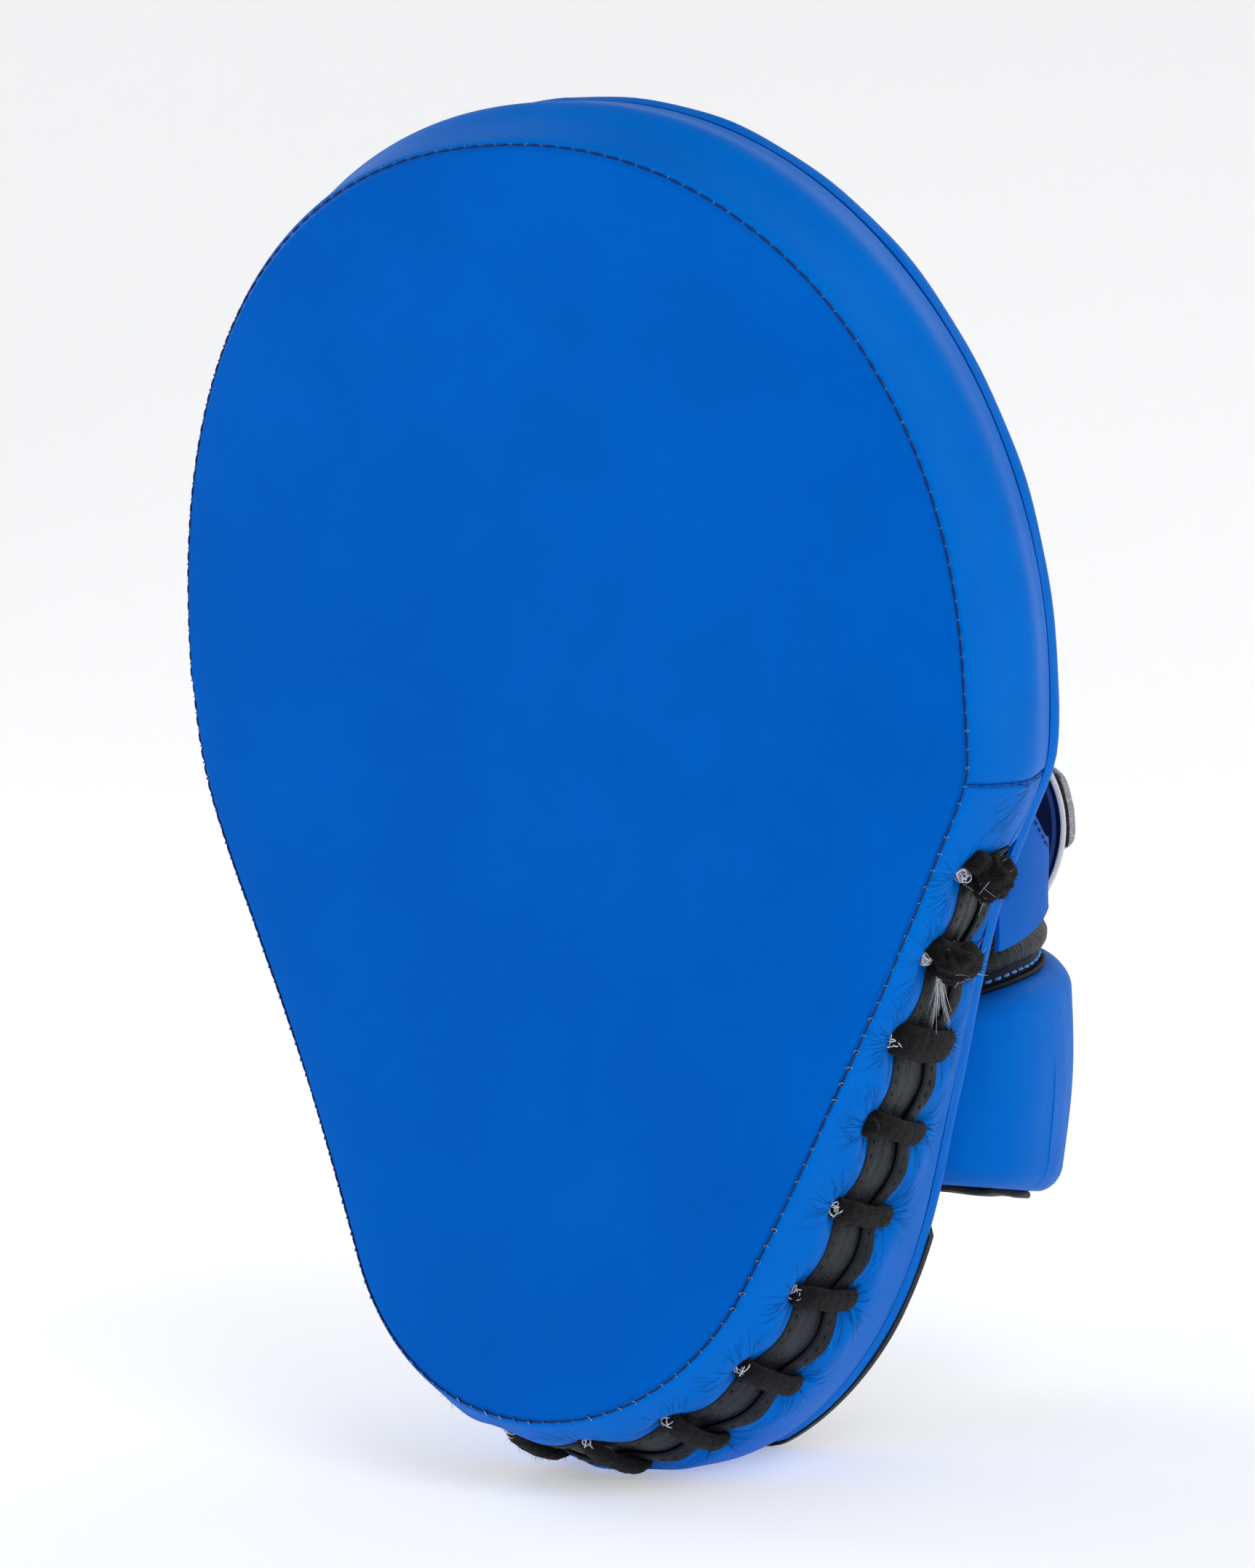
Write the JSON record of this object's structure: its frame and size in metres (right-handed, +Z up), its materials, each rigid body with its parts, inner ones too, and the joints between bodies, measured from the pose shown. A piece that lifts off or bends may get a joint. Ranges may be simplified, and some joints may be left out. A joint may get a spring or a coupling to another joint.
{
  "type": "boxing focus mitt",
  "caption": "Curved laced focus mitt with a bent striking pad, finger hood, open thumb side, hand strap and padded wrist cuff.",
  "frame": {"origin": "middle of the bounding box, at the ground under the flat heel foot", "axes": "+Z up towards the fingertip end, -Y out of the striking face, +X towards the open thumb side"},
  "size_m": [0.1888, 0.1505, 0.2773],
  "materials": {
    "blue_leather": "smooth, satin",
    "blue_gusset": "smooth, satin",
    "black_leather": "fine grain, satin",
    "black_lace": "fuzzy woven cotton",
    "navy_thread": "twisted sewing thread",
    "light_thread": "twisted sewing thread",
    "dense_foam": "closed-cell foam",
    "core_foam": "closed-cell foam",
    "soft_foam": "open-cell foam",
    "black_lining": "plain woven lining",
    "dark_blue_lining": "smooth lining",
    "black_pile": "hook-and-loop pile",
    "grey_suede": "brushed suede"
  },
  "bodies": {
    "mitt": {"face_panel": "blue_leather", "face_seam_thread": "navy_thread", "upper_gusset": "blue_gusset", "gusset_cross_thread": "navy_thread", "lower_front_gusset": "blue_gusset", "lower_rear_gusset": "blue_gusset", "front_lace_binding": "black_leather", "rear_lace_binding": "black_leather", "lace_tongue": "black_leather", "lace": "black_lace", "strike_foam": "dense_foam", "core_foam": "core_foam", "rear_foam": "soft_foam", "back_panel": "blue_leather", "heel_patch": "black_leather", "palm_ball_foam": "soft_foam", "palm_ball_cover": "black_lining", "hood_shell": "blue_leather", "hood_foam": "soft_foam", "hood_lining": "black_lining", "hood_hem": "blue_leather", "hood_thread": "light_thread", "thumb_wall": "blue_leather", "outer_wall": "blue_leather", "wall_thread": "navy_thread", "hand_panel": "blue_leather", "panel_lining": "dark_blue_lining", "loop_patch": "black_pile", "cuff_shell": "blue_leather", "cuff_foam": "soft_foam", "cuff_lining": "black_lining", "cuff_roll": "black_leather", "cuff_band": "black_leather", "cuff_hem": "black_leather", "cuff_thread": "light_thread"},
    "strap": {"hand_strap": "grey_suede", "strap_hook": "black_pile"}
  },
  "joints": [
    {"name": "strap_hinge", "type": "hinge", "parent": "mitt", "child": "strap", "pos_m": [-0.0509, 0.03945, 0.1279], "axis": [0, 0.0205, 0.9998], "range_deg": [0, 120]}
  ]
}
